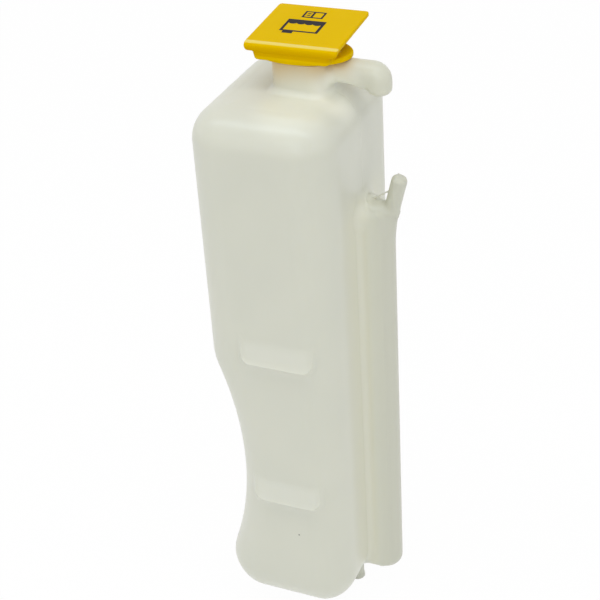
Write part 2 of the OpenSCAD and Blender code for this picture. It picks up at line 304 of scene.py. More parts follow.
# Studio: places and sizes in metres, turns in degrees, power in watts
CAMERA_PLACE = (0.25563, -0.62138, 0.62464)
CAMERA_AZIMUTH = 24.56
CAMERA_ELEVATION = 32.03
CAMERA_ROLL = 3.737
CAMERA_LENS = 84.1
WORLD_LIGHT = 0.71
AIM = (-0.02, 0, 0.2)
SHOULDER_LEFT = (-0.06, -0.04, 0.32)
SHOULDER_RIGHT = (0.0, -0.04, 0.32)
# Each lamp's name, place, aim, width, depth and power
LAMPS = (
    ("strip", (-0.2, -0.4, 1.75), (-0.2, 0, 0.2), 2.0, 0.3, 7.0),
    ("front", (0.2, -1.5, 1.15), AIM, 1.2, 1.2, 4.0),
    ("right", (1.2, -0.2, 0.9), AIM, 1.0, 1.0, 1.0),
    ("spot_left", (-1.2, -0.32, 1.78), SHOULDER_LEFT, 0.15, 0.15, 0.3),
    ("spot_right", (0.69, -0.31, 1.6), SHOULDER_RIGHT, 0.15, 0.15, 0.3),
)

# Floor: its gap below the peg, the radii of its rings, and how much of it the camera sees as plain white
FLOOR_GAP = 0.2
FLOOR_RINGS = (600, 1200, 2400)
FLOOR_SIDES = 64
FLOOR_GLOW = 0.97


# Distances to shapes, less than zero inside

def eased(share):
    """A share of 0 to 1 with a soft start and end."""
    return share * share * (3 - 2 * share)


def soft_max(a, b, size):
    """The larger of two values with a soft change-over."""
    near = np.maximum(size - np.abs(a - b), 0)
    return np.maximum(a, b) + near * near / (4 * size)


def round_cut(a, b, radius):
    """What lies inside both shapes, with the edge between them rounded."""
    corner = np.hypot(np.maximum(a + radius, 0), np.maximum(b + radius, 0))
    return np.minimum(np.maximum(a, b), -radius) + corner


def filleted(a, b, radius):
    """Both shapes together, with a fillet where they meet."""
    corner = np.hypot(np.maximum(radius - a, 0), np.maximum(radius - b, 0))
    return np.maximum(np.minimum(a, b), radius) - corner


def carved(a, b, radius):
    """The first shape without the second, with the edge rounded."""
    return round_cut(a, -b, radius)


def plan_rect(x, y, left, right, front, back, radius, soft=0.5):
    """Distance in plan to a rectangle with round corners."""
    qx = np.abs(x - (left + right) / 2) - (right - left) / 2 + radius
    qy = np.abs(y - (front + back) / 2) - (back - front) / 2 + radius
    beyond = np.hypot(np.maximum(qx, 0), np.maximum(qy, 0))
    return beyond + np.minimum(soft_max(qx, qy, soft), 0) - radius


def plan_oval(x, y, half_w, half_d):
    """Distance in plan to an oval, close near its line."""
    u = x / half_w
    v = y / half_d
    oval = np.hypot(u, v)
    steepness = np.hypot(u / half_w, v / half_d)
    return (oval - 1) * np.where(steepness > TINY, oval / np.maximum(steepness, TINY), half_w)


def rod(x, y, z, start, end, radius):
    """A round rod in the parting plane, between two (x, z) places, with round ends."""
    run = end[0] - start[0]
    rise = end[1] - start[1]
    share = ((x - start[0]) * run + (z - start[1]) * rise) / (run * run + rise * rise)
    share = np.clip(share, 0, 1)
    return np.hypot(np.hypot(x - start[0] - share * run, z - start[1] - share * rise), y) - radius


def scalloped_side(z):
    """X of the left side at height z."""
    off = np.minimum(np.abs(z - SCALLOP_Z), SCALLOP_R)
    arc = LEFT_X + SCALLOP_DEPTH - SCALLOP_R + np.sqrt(SCALLOP_R**2 - off**2)
    return soft_max(LEFT_X, arc, SCALLOP_EASE)


def bottle_body(x, y, z):
    """The bottle without its neck and channel, with a slightly domed crown."""
    side = plan_rect(x, y, scalloped_side(z), RIGHT_X, FRONT_Y, BACK_Y, CORNER_R, CORNER_EASE)
    flat = np.clip((-side - SHOULDER_R) / CROWN_REACH, 0, 1)
    top = z - BODY_H - CROWN_H * (1 - (1 - flat) ** 2)
    upper = round_cut(side, top, SHOULDER_R)
    lower = round_cut(side, -z, UNDERSIDE_R)
    return np.where(z > BODY_H / 2, upper, lower)


def channel(x, y, z, inset=0.0):
    """The side channel, half oval in plan, with round ends."""
    centre_x = RIGHT_X + CHANNEL_FOOT_R
    flank = plan_oval(np.maximum(x - centre_x, 0), y, CHANNEL_OUT_X - centre_x, CHANNEL_HALF_D)
    flank = np.maximum(flank, CHANNEL_ROOT_X - x) + inset
    low = round_cut(flank, CHANNEL_LOW_Z + inset - z, CHANNEL_LOW_R - inset)
    return round_cut(low, z - CHANNEL_TOP_Z + inset, CHANNEL_TOP_R - inset)


def along_nipple(x, y, z):
    """Distance along the nipple's axis and out from it."""
    dx = x - NIPPLE_X
    dz = z - NIPPLE_Z
    along = dx * math.sin(NIPPLE_LEAN) + dz * math.cos(NIPPLE_LEAN)
    across = dx * math.cos(NIPPLE_LEAN) - dz * math.sin(NIPPLE_LEAN)
    return along, np.hypot(across, y)


def nipple(x, y, z):
    """The nipple with its low collar and round closed tip."""
    along, out = along_nipple(x, y, z)
    collar = COLLAR_H * np.exp(-(((along - COLLAR_AT) / COLLAR_HALF_W) ** 2))
    tube = round_cut(out - NIPPLE_R - collar, along - NIPPLE_LEN, NIPPLE_TIP_R)
    return np.maximum(tube, -along - NIPPLE_ROOT)


def neck(x, y, z):
    """The neck's outside, a rounded square in plan."""
    tube = plan_rect(x, y, NECK_LEFT_X, NECK_RIGHT_X, -NECK_HALF_D, NECK_HALF_D, NECK_CORNER_R, NECK_EASE)
    return np.maximum(round_cut(tube, z - RIM_Z, RIM_EDGE_R), BODY_H - NECK_SUNK - z)


def spout_line(x, y, z):
    """Distance to the spout's middle line: a level run, a quarter bend and an upright leg."""
    bend_x = SPOUT_LEG_X - SPOUT_BEND_R
    bend_z = SPOUT_Z - SPOUT_BEND_R
    level = np.hypot(np.hypot(np.maximum(x - bend_x, 0), z - SPOUT_Z), y)
    leg = np.hypot(np.hypot(x - SPOUT_LEG_X, np.maximum(z - bend_z, 0)), y)
    turn = np.hypot(np.hypot(x - bend_x, z - bend_z) - SPOUT_BEND_R, y)
    return np.where((x > bend_x) & (z > bend_z), turn, np.minimum(level, leg))


def spout(x, y, z):
    """The overflow spout, with the sag that the blown plastic has inside its bend."""
    tube = np.maximum(spout_line(x, y, z) - SPOUT_R, NECK_X - x)
    sag = rod(x, y, z, SAG_FROM, SAG_TO, SAG_R)
    both = -soft_max(-tube, -sag, SAG_BLEND)
    end = np.hypot(x - SPOUT_LEG_X, y) - SPOUT_R - SPOUT_END_ROOM
    rounded = round_cut(both, SPOUT_END_Z - z, SPOUT_END_R)
    return np.where(end < 0, rounded, both)


def peg(x, y, z):
    """The locating peg with its slightly flared lower end."""
    flare = eased(np.clip((PEG_FLARE_Z - z) / PEG_FLARE_H, 0, 1))
    radius = PEG_R + (PEG_LOW_R - PEG_R) * flare
    shank = round_cut(np.hypot(x, y) - radius, PEG_LOW_Z - z, PEG_EDGE_R)
    return np.maximum(shank, z - PEG_ROOT_Z)


def mark_height(x, z, edge_z):
    """How far a level mark stands out: a leaning plate with a small lip, and a slow return below it."""
    # The lip curls up towards both ends
    off = np.abs(x - MARK_X)
    curl = np.clip(off - MARK_W / 2 + MARK_CORNER_R, 0, MARK_CORNER_R * MARK_CURL_SHARE)
    lip_z = edge_z + MARK_CORNER_R - np.sqrt(MARK_CORNER_R**2 - curl * curl)
    up = np.clip(1 - (z - lip_z) / MARK_H, 0, 1)
    plate = (1 - MARK_LIP_SHARE) * up + MARK_LIP_SHARE * up**MARK_LIP_POWER
    below = np.exp(-np.maximum(lip_z - z, 0) / MARK_RETURN)
    ends = eased(np.clip((MARK_W / 2 + MARK_FADE / 2 - off) / MARK_FADE, 0, 1))
    return MARK_PROUD * plate * below * ends


def tank_outside(x, y, z):
    """The whole bottle's outside, with the bead that the mould's halves leave at y = 0."""
    shape = bottle_body(x, y, z)
    for edge_z in MARK_EDGES_Z:
        shape = shape - np.where(y < 0, mark_height(x, z, edge_z), 0)
    side = filleted(channel(x, y, z), nipple(x, y, z), NIPPLE_FOOT_R)
    foot_r = np.interp(z, CHANNEL_FOOT_GROWS_Z, (CHANNEL_FOOT_R, CHANNEL_TOP_FOOT_R))
    shape = filleted(shape, side, foot_r)
    shape = filleted(shape, rod(x, y, z, TIE_FROM, TIE_TO, TIE_R), TIE_FOOT_R)
    # The spout's fillet gets small towards the rim, so that it doesn't rise over it
    spout_fillet = np.clip(RIM_Z - z - RIM_EDGE_R, SPOUT_FILLET_LEAST_R, SPOUT_FILLET_R)
    shape = filleted(shape, filleted(neck(x, y, z), spout(x, y, z), spout_fillet), NECK_FOOT_R)
    shape = filleted(shape, peg(x, y, z), PEG_FOOT_R)
    bead = BEAD_H * np.exp(-((y / BEAD_HALF_W) ** 2)) * np.clip((BEAD_END_X - x) / BEAD_FADE, 0, 1)
    return shape - bead


def tank_inside(x, y, z):
    """The room inside the bottle, channel, neck, spout and nipple."""
    room = bottle_body(x, y, z) + WALL
    room = filleted(room, np.maximum(channel(x, y, z, WALL), CHANNEL_ROOM_X - x), ROOM_FILLET_R)
    passage = plan_rect(x, z, *PASSAGE_X, *PASSAGE_Z, PASSAGE_R)
    room = filleted(room, round_cut(passage, np.abs(y) - PASSAGE_HALF_D, PASSAGE_R), PASSAGE_FILLET_R)
    bore = np.hypot(x - NECK_X, y) - BORE_R
    bore = np.maximum(np.maximum(bore, BODY_H - NECK_SUNK - z), z - RIM_Z - CUT_PAST)
    room = filleted(room, bore, BORE_FOOT_R)
    tunnel = np.maximum(spout_line(x, y, z) - SPOUT_R + WALL, NECK_X - x)
    tunnel = np.maximum(tunnel, SPOUT_END_Z + WALL - z)
    mouth = np.hypot(x - SPOUT_LEG_X, y) - SPOUT_MOUTH_R
    mouth = np.maximum(np.maximum(mouth, z - SPOUT_Z), SPOUT_END_Z - CUT_PAST - z)
    room = filleted(room, filleted(tunnel, mouth, ROOM_FILLET_R), ROOM_FILLET_R)
    along, out = along_nipple(x, y, z)
    pipe = np.maximum(out - NIPPLE_BORE_R, -along - NIPPLE_BORE_ROOT)
    pipe = np.maximum(pipe, along - NIPPLE_LEN + NIPPLE_TIP_T)
    return filleted(room, pipe, ROOM_FILLET_R)


def along_plate(y, z):
    """Distance along the plate from the fold's axis, and up from that axis."""
    dy = y - FOLD_Y
    dz = z - FOLD_Z
    along = dy * math.cos(PLATE_SLOPE) + dz * math.sin(PLATE_SLOPE)
    up = dz * math.cos(PLATE_SLOPE) - dy * math.sin(PLATE_SLOPE)
    return along, up


def cap_strip(x, y, z):
    """Plate, fold and lip: a strip that is bent as seen from the side."""
    along, up = along_plate(y, z)
    dy = y - FOLD_Y
    dz = z - FOLD_Z
    plate = round_cut(np.abs(up - STRIP_R) - CAP_T / 2, along - PLATE_LEN, PLATE_EDGE_R)
    fold = np.abs(np.hypot(dy, dz) - STRIP_R) - CAP_T / 2
    lip = round_cut(np.abs(dy + STRIP_R) - CAP_T / 2, -dz - LIP_H, LIP_EDGE_R)
    strip = np.where(along > 0, plate, np.where(dz > 0, fold, lip))
    # The plate's back corners are round from above, and the lip's lower corners from the front
    above = plan_rect(x, y, -PLATE_HALF_W, PLATE_HALF_W, STRIP_FRONT_Y, STRIP_BACK_Y, PLATE_CORNER_R)
    strip = round_cut(strip, above, PLATE_EDGE_R)
    front = plan_rect(x, z, -PLATE_HALF_W, PLATE_HALF_W, FOLD_Z - LIP_H, STRIP_TOP_Z, LIP_CORNER_R)
    return np.where(dy < 0, np.maximum(strip, front), strip)


def cap_riser(x, y, z):
    """The riser between flange and plate, open to the back and a little narrower at its foot."""
    narrow = RISER_TAPER * np.clip(FOLD_Z - z, 0, RISER_TAPER_H)
    left = -RISER_HALF_W + narrow
    right = RISER_HALF_W - narrow
    outer = plan_rect(x, y, left, right, RISER_FRONT_Y, RISER_OPEN_Y, RISER_CORNER_R)
    inner_front = RISER_FRONT_Y + CAP_T
    inner = plan_rect(x, y, left + CAP_T, right - CAP_T, inner_front, RISER_OPEN_Y, RISER_INNER_R)
    riser = carved(outer, inner, RISER_INNER_EDGE_R)
    riser = round_cut(riser, y - RISER_BACK_Y, RISER_BACK_EDGE_R)
    riser = round_cut(riser, RISER_LOW_Z - z, RISER_LOW_EDGE_R)
    up = along_plate(y, z)[1]
    return np.maximum(riser, up - STRIP_R)


def cap_flange(x, y, z):
    """The oval flange that rests on the neck's rim."""
    rim = plan_oval(x, y, FLANGE_HALF_W, FLANGE_HALF_D)
    return round_cut(rim, np.abs(z - RIM_Z - FLANGE_T / 2) - FLANGE_T / 2, FLANGE_EDGE_R)


def cap_plug(x, y, z):
    """The plug, hollow from below."""
    out = np.hypot(x, y)
    plug = round_cut(out - PLUG_R, RIM_Z - PLUG_LEN - z, PLUG_EDGE_R)
    plug = np.maximum(plug, z - RIM_Z - PLUG_SUNK)
    hollow = round_cut(out - PLUG_R + PLUG_T, z - RIM_Z, PLUG_HOLLOW_R)
    return carved(plug, hollow, PLUG_LIP_R)


def cap_shape(x, y, z):
    """The whole cap."""
    x = x - NECK_X
    shape = filleted(cap_strip(x, y, z), cap_riser(x, y, z), RISER_FILLET_R)
    shape = filleted(shape, cap_flange(x, y, z), FLANGE_FILLET_R)
    return filleted(shape, cap_plug(x, y, z), PLUG_FILLET_R)


# From a distance to a mesh

def spaced(stops):
    """Grid lines from (start, step) pairs, up to a last value."""
    ends = [stop[0] for stop in stops[1:-1]] + [stops[-1]]
    lines = []
    for (start, step), end in zip(stops[:-1], ends):
        count = max(1, round((end - start) / step))
        lines.extend(np.linspace(start, end, count, endpoint=False))
    lines.append(stops[-1])
    return np.array(lines, float)


def skin(shape, lines):
    """Points and four-sided faces over the surface, one point in each grid cell that it crosses."""
    value = shape(*np.meshgrid(*lines, indexing="ij"))
    inside = value < 0
    corners = [(i, j, k) for i in (0, 1) for j in (0, 1) for k in (0, 1)]
    parts = [
        inside[i:inside.shape[0] - 1 + i, j:inside.shape[1] - 1 + j, k:inside.shape[2] - 1 + k]
        for i, j, k in corners
    ]
    crossed = np.logical_or.reduce(parts) & ~np.logical_and.reduce(parts)
    cells = np.argwhere(crossed)
    index = np.full(crossed.shape, -1)
    index[tuple(cells.T)] = np.arange(len(cells))
    # Each point is the middle of the places where the cell's edges are crossed
    total = np.zeros((len(cells), 3))
    count = np.zeros(len(cells))
    for first in corners:
        for axis in range(3):
            if first[axis]:
                continue
            second = tuple(1 if a == axis else first[a] for a in range(3))
            node_a = cells + first
            node_b = cells + second
            value_a = value[tuple(node_a.T)]
            value_b = value[tuple(node_b.T)]
            hit = (value_a < 0) != (value_b < 0)
            share = np.where(hit, value_a / np.where(hit, value_a - value_b, 1), 0)
            place_a = np.stack([lines[a][node_a[:, a]] for a in range(3)], 1)
            place_b = np.stack([lines[a][node_b[:, a]] for a in range(3)], 1)
            total += hit[:, None] * (place_a + share[:, None] * (place_b - place_a))
            count += hit
    points = total / count[:, None]
    # Each crossed grid edge gives a face between the four cells round it
    faces = []
    for axis in range(3):
        b, c = (axis + 1) % 3, (axis + 2) % 3
        low = np.take(inside, range(inside.shape[axis] - 1), axis)
        high = np.take(inside, range(1, inside.shape[axis]), axis)
        edges = np.argwhere(low != high)
        outward = low[tuple(edges.T)]
        ring = []
        for step_b, step_c in ((-1, -1), (0, -1), (0, 0), (-1, 0)):
            cell = edges.copy()
            cell[:, b] += step_b
            cell[:, c] += step_c
            ring.append(index[tuple(cell.T)])
        quads = np.stack(ring, 1)
        quads[~outward] = quads[~outward][:, ::-1]
        faces.append(quads)
    return points, np.concatenate(faces)


def slope_of(shape, points, step=0.02):
    """The direction in which the distance grows, at each point."""
    columns = []
    for axis in range(3):
        off = np.zeros(3)
        off[axis] = step
        ahead = shape(*(points + off).T)
        behind = shape(*(points - off).T)
        columns.append((ahead - behind) / (2 * step))
    return np.stack(columns, 1)


def settled(shape, points, rounds=3):
    """The points moved onto the surface."""
    for _ in range(rounds):
        slope = slope_of(shape, points)
        size = np.maximum((slope * slope).sum(1), LEAST_SLOPE)
        move = shape(*points.T)[:, None] * slope / size[:, None]
        points = points - np.clip(move, -LONGEST_MOVE, LONGEST_MOVE)
    return points


def evened(shape, points, faces, rounds=3):
    """The points spread more evenly over the surface, each half the way to its neighbours' middle."""
    ends = np.concatenate([faces[:, [i, (i + 1) % 4]] for i in range(4)])
    count = np.bincount(ends[:, 0], minlength=len(points))[:, None]
    for _ in range(rounds):
        total = np.zeros_like(points)
        for axis in range(3):
            total[:, axis] = np.bincount(ends[:, 0], points[ends[:, 1], axis], len(points))
        points = settled(shape, points + 0.5 * (total / np.maximum(count, 1) - points), 1)
    return settled(shape, points, 2)


def new_object(name, data):
    """An object in the scene, with its data."""
    made = bpy.data.objects.new(name, data)
    bpy.context.scene.collection.objects.link(made)
    return made


def mesh_object(name, points, faces):
    """An object from points in millimetres and lists of their numbers, one for each face."""
    mesh = bpy.data.meshes.new(name)
    mesh.from_pydata((np.array(points) * MM).tolist(), [], faces)
    mesh.validate()
    return new_object(name, mesh)


def shaped(name, shape, grid):
    """An object from a distance function, meshed on a grid."""
    points, faces = skin(shape, [spaced(stops) for stops in grid])
    points = evened(shape, settled(shape, points), faces)
    return mesh_object(name, points, faces.tolist())


def make_plain(made):
    """Puts the result of an object's modifiers in its mesh and removes them."""
    graph = bpy.context.evaluated_depsgraph_get()
    result = bpy.data.meshes.new_from_object(made.evaluated_get(graph))
    made.modifiers.clear()
    made.data = result


def cut_out(body, tool):
    """Cuts one closed object out of another and removes the tool."""
    cut = body.modifiers.new("cut", "BOOLEAN")
    cut.operation = "DIFFERENCE"
    cut.solver = "MANIFOLD"
    cut.object = tool
    make_plain(body)
    bpy.data.objects.remove(tool)


def read_all(items, key, width=1, kind=float):
    """One property of all a mesh's items, as an array."""
    values = np.empty(len(items) * width, kind)
    items.foreach_get(key, values)
    return values.reshape(-1, width) if width > 1 else values


def smooth_by(made, *shapes):
    """Gives each face the exact normals of the shape that it lies on: the outside, or a cut-out room."""
    mesh = made.data
    points = read_all(mesh.vertices, "co", 3) / MM
    corner_point = read_all(mesh.loops, "vertex_index", kind=int)
    sizes = read_all(mesh.polygons, "loop_total", kind=int)
    centres = read_all(mesh.polygons, "center", 3) / MM
    gaps = np.stack([np.abs(shape(*centres.T)) for shape in shapes])
    nearest = np.repeat(gaps.argmin(0), sizes)
    normals = np.zeros((len(mesh.loops), 3))
    for number, shape in enumerate(shapes):
        slope = slope_of(shape, points)
        slope /= np.maximum(np.linalg.norm(slope, axis=1), TINY)[:, None]
        mine = nearest == number
        sign = 1 if number == 0 else -1
        normals[mine] = sign * slope[corner_point[mine]]
    mesh.polygons.foreach_set("use_smooth", np.ones(len(mesh.polygons), bool))
    mesh.normals_split_custom_set(normals.tolist())
    mesh.update()


# Shader helpers

def srgb(red, green, blue):
    """A screen colour of 0 to 255 as the linear colour that a shader takes."""
    shares = [value / 255 for value in (red, green, blue)]
    linear = [v / 12.92 if v <= 0.04045 else ((v + 0.055) / 1.055) ** 2.4 for v in shares]
    return (*linear, 1.0)


def in_metres(*lengths):
    return tuple(length * MM for length in lengths)


class Nodes:
    """Adds nodes to a tree and joins them in one call each."""

    def __init__(self, tree):
        self.tree = tree

    def add(self, kind, values=None, **settings):
        """A node with its settings, and with a value or a link for each named or numbered socket."""
        node = self.tree.nodes.new(kind)
        for key, value in settings.items():
            setattr(node, key, value)
        for socket, value in (values or {}).items():
            if isinstance(value, bpy.types.NodeSocket):
                self.tree.links.new(value, node.inputs[socket])
            else:
                node.inputs[socket].default_value = value
        return node

    def math(self, operation, *values):
        return self.add("ShaderNodeMath", dict(enumerate(values)), operation=operation).outputs[0]

    def vector(self, operation, first, second):
        return self.add("ShaderNodeVectorMath", {0: first, 1: second}, operation=operation).outputs

    def noise(self, place, scale, detail):
        values = {"Vector": place, "Scale": scale, "Detail": detail}
        return self.add("ShaderNodeTexNoise", values).outputs[0]

    def ramp(self, value, low, high):
        """Zero at low, one at high, soft between."""
        settings = {"Value": value, "From Min": low, "From Max": high}
        node = self.add("ShaderNodeMapRange", settings, interpolation_type="SMOOTHSTEP")
        return node.outputs["Result"]

    def between(self, share, low, high):
        """The value at a share of the way from low to high."""
        return self.math("MULTIPLY_ADD", share, high - low, low)

    def mix(self, share, first, second):
        return self.add("ShaderNodeMix", {0: share, 6: first, 7: second}, data_type="RGBA").outputs[2]

    def mottled(self, share, pair):
        """A colour between a pair of screen colours."""
        return self.mix(share, srgb(*pair[0]), srgb(*pair[1]))

    def mask(self, lengths, fades):
        """One where each named length is past its fade, and zero where any is before it."""
        mask = None
        for name, start, end in fades:
            share = self.ramp(lengths[name], *in_metres(start, end))
            mask = share if mask is None else self.math("MULTIPLY", mask, share)
        return mask

    def tinted(self, colour, tint, lengths):
        """The colour with a tint over it, where the tint's fades let it through."""
        shade, strength, fades = tint
        share = self.math("MULTIPLY", self.mask(lengths, fades), strength)
        return self.mix(share, colour, srgb(*shade))

    def patched(self, colour, patch, place):
        """The colour with a round patch over it."""
        shade, strength, middle, reach = patch
        away = self.vector("DISTANCE", place, in_metres(*middle))["Value"]
        share = self.math("MULTIPLY", self.ramp(away, *in_metres(*reach)), strength)
        return self.mix(share, colour, srgb(*shade))

    def seen_directly(self):
        """One for what the camera sees straight, in a reflection or through glass."""
        seen = self.add("ShaderNodeLightPath").outputs
        direct = self.math("MAXIMUM", seen["Is Camera Ray"], seen["Is Glossy Ray"])
        return self.math("MAXIMUM", direct, seen["Is Transmission Ray"])


def new_material(name):
    """A material, the helper that adds its nodes, and the place on the object."""
    material = bpy.data.materials.new(name)
    material.use_nodes = True
    material.node_tree.nodes.clear()
    nodes = Nodes(material.node_tree)
    return material, nodes, nodes.add("ShaderNodeTexCoord").outputs["Object"]


def moulded_grain():
    """Group: the fine uneven skin of moulded plastic, as a height and a slow mottling."""
    group = bpy.data.node_groups.new("moulded_grain", "ShaderNodeTree")
    for name, kind in (("Position", "Vector"), ("Grain", "Float"), ("Mottling", "Float")):
        group.interface.new_socket(name, in_out="INPUT", socket_type="NodeSocket" + kind)
    for name in ("Height", "Mottle"):
        group.interface.new_socket(name, in_out="OUTPUT", socket_type="NodeSocketFloat")
    nodes = Nodes(group)
    given = nodes.add("NodeGroupInput").outputs
    fine, wavy, slow = (
        nodes.noise(given["Position"], scale, detail)
        for scale, detail in ((given["Grain"], 3.0), (WAVY_SCALE, 1.0), (given["Mottling"], 2.0))
    )
    height = nodes.math("MULTIPLY_ADD", wavy, WAVY_SHARE, fine)
    nodes.add("NodeGroupOutput", {"Height": height, "Mottle": slow})
    return group


def moulded_skin(nodes, place, grain, fineness, mottling, strength):
    """The grain in a material: its mottling, and a bump for the normal."""
    values = {"Position": place, "Grain": fineness, "Mottling": mottling}
    look = nodes.add("ShaderNodeGroup", values, node_tree=grain).outputs
    relief = {"Strength": strength, "Distance": GRAIN_DEPTH * MM, "Height": look["Height"]}
    return look["Mottle"], nodes.add("ShaderNodeBump", relief).outputs[0]


def milky_plastic(grain):
    """Natural blown polyethylene, milky and satin, with painted light and shade: a warm cast from the cap on
    the neck, shade on the channel, and light on the marks, the channel's top, the crown and the nook.
    """
    material, nodes, place = new_material("milky_plastic")
    mottle, bump = moulded_skin(nodes, place, grain, fineness=900.0, mottling=22.0, strength=0.12)
    axes = nodes.add("ShaderNodeSeparateXYZ", {"Vector": place}).outputs
    in_plan = nodes.vector("MULTIPLY", place, (1.0, 1.0, 0.0))[0]
    lengths = {
        "x": axes["X"], "y": axes["Y"], "z": axes["Z"],
        "off_plane": nodes.math("ABSOLUTE", axes["Y"]),
        "off_mark": nodes.math("ABSOLUTE", nodes.math("SUBTRACT", axes["X"], MARK_X * MM)),
        "from_neck": nodes.vector("DISTANCE", in_plan, in_metres(NECK_X, 0, 0))["Value"],
    }
    colour = nodes.mottled(mottle, MILKY)
    # Painted light and shade over the plastic's own colour; the seam's yellower tint is the plastic's own
    for tint in (PAINTED_CAP_CAST, SEAM_TINT, PAINTED_CHANNEL_SHADE, *PAINTED_MARK_LIGHTS, PAINTED_CHANNEL_TOP_LIGHT):
        colour = nodes.tinted(colour, tint, lengths)
    # Painted light on crown and nook, and a real dark speck
    for patch in (PAINTED_CROWN_LIGHT, PAINTED_NOOK_LIGHT, SPECK):
        colour = nodes.patched(colour, patch, place)
    rough = nodes.between(nodes.ramp(mottle, *MOTTLE_REACH), *MILKY_ROUGH)
    shader = nodes.add("ShaderNodeBsdfPrincipled", {
        "Base Color": colour, "Roughness": rough, "Normal": bump,
        "IOR": 1.54, "Specular Tint": srgb(218, 237, 255),
        "Subsurface Weight": 0.4, "Subsurface Radius": (1.0, 0.95, 0.8), "Subsurface Scale": 0.003,
    })
    nodes.add("ShaderNodeOutputMaterial", {"Surface": shader.outputs[0]})
    return material


def yellow_plastic(grain):
    """The cap's injection-moulded yellow plastic, satin gloss with a glossier coat along the fold, painted
    shade between flange and plate, and a painted highlight along the fold.
    """
    material, nodes, place = new_material("yellow_plastic")
    mottle, bump = moulded_skin(nodes, place, grain, fineness=1400.0, mottling=60.0, strength=0.1)
    axes = nodes.add("ShaderNodeSeparateXYZ", {"Vector": place}).outputs
    lengths = {"y": axes["Y"], "z": axes["Z"]}
    colour = nodes.mottled(mottle, YELLOW)
    # Painted shade on riser and lip, then a painted highlight along the fold
    for tint in (PAINTED_CAP_SHADE, PAINTED_FOLD_HIGHLIGHT):
        colour = nodes.tinted(colour, tint, lengths)
    shader = nodes.add("ShaderNodeBsdfPrincipled", {
        "Base Color": colour, "Roughness": nodes.between(mottle, *YELLOW_ROUGH), "Normal": bump,
        "IOR": 1.06, "Specular Tint": srgb(255, 215, 60),
        "Coat Weight": nodes.mask(lengths, FOLD_SHINE), "Coat IOR": 1.5, "Coat Roughness": 0.1,
        "Subsurface Weight": 0.1, "Subsurface Radius": (1.0, 0.5, 0.05), "Subsurface Scale": 0.001,
    })
    nodes.add("ShaderNodeOutputMaterial", {"Surface": shader.outputs[0]})
    return material


def print_ink():
    """Dark pad-printed ink with slightly uneven cover."""
    material, nodes, place = new_material("print_ink")
    colour = nodes.mottled(nodes.noise(place, scale=700.0, detail=3.0), INK)
    shader = nodes.add("ShaderNodeBsdfPrincipled", {"Base Color": colour, "Roughness": 0.6, "IOR": 1.3})
    nodes.add("ShaderNodeOutputMaterial", {"Surface": shader.outputs[0]})
    return material


def white_floor():
    """A matt white floor that the camera sees as white, but for a faint shadow."""
    material, nodes, place = new_material("white_floor")
    colour = nodes.mottled(nodes.noise(place, scale=8.0, detail=2.0), WHITE)
    matt = nodes.add("ShaderNodeBsdfDiffuse", {"Color": colour})
    glow = nodes.add("ShaderNodeEmission", {"Color": (1, 1, 1, 1), "Strength": 1.0})
    share = nodes.math("MULTIPLY", nodes.seen_directly(), FLOOR_GLOW)
    mixed = nodes.add("ShaderNodeMixShader", {0: share, 1: matt.outputs[0], 2: glow.outputs[0]})
    nodes.add("ShaderNodeOutputMaterial", {"Surface": mixed.outputs[0]})
    return material


# The pieces

def make_tank(material):
    """The bottle, cut hollow."""
    tank = shaped("bottle", tank_outside, TANK_GRID)
    cut_out(tank, shaped("bottle_room", tank_inside, ROOM_GRID))
    smooth_by(tank, tank_outside, tank_inside)
    tank.data.materials.clear()
    tank.data.materials.append(material)
    return tank


def make_cap(material):
    """The filler cap."""
    cap = shaped("filler_cap", cap_shape, CAP_GRID)
    smooth_by(cap, cap_shape)
    cap.data.materials.append(material)
    return cap


def on_plate(x, along, up=0.0):
    """A place on the cap's top plate: across, from front to back, and above the plate."""
    reach = FOLD_R + up
    y = FOLD_Y + along * math.cos(PLATE_SLOPE) - reach * math.sin(PLATE_SLOPE)
    z = FOLD_Z + along * math.sin(PLATE_SLOPE) + reach * math.cos(PLATE_SLOPE)
    return (NECK_X + x, y, z)


def make_print(material):
    """The level picture on the plate: a vessel with a level in it, and an open booklet behind it."""
    points, faces = [], []
    for left, front, right, back in VESSEL_BOXES + BOOKLET_BOXES:
        first = len(points)
        outline = ((left, front), (right, front), (right, back), (left, back))
        for up in (-PRINT_SUNK, PRINT_T):
            points.extend(on_plate(x, along, up) for x, along in outline)
        low = range(first, first + len(outline))
        high = range(low.stop, low.stop + len(outline))
        faces.append(list(high))
        faces.append(list(reversed(low)))
        for i in range(len(outline)):
            j = (i + 1) % len(outline)
            faces.append([low[i], low[j], high[j], high[i]])
    made = mesh_object("level_print", points, faces)
    made.data.materials.append(material)
    return made


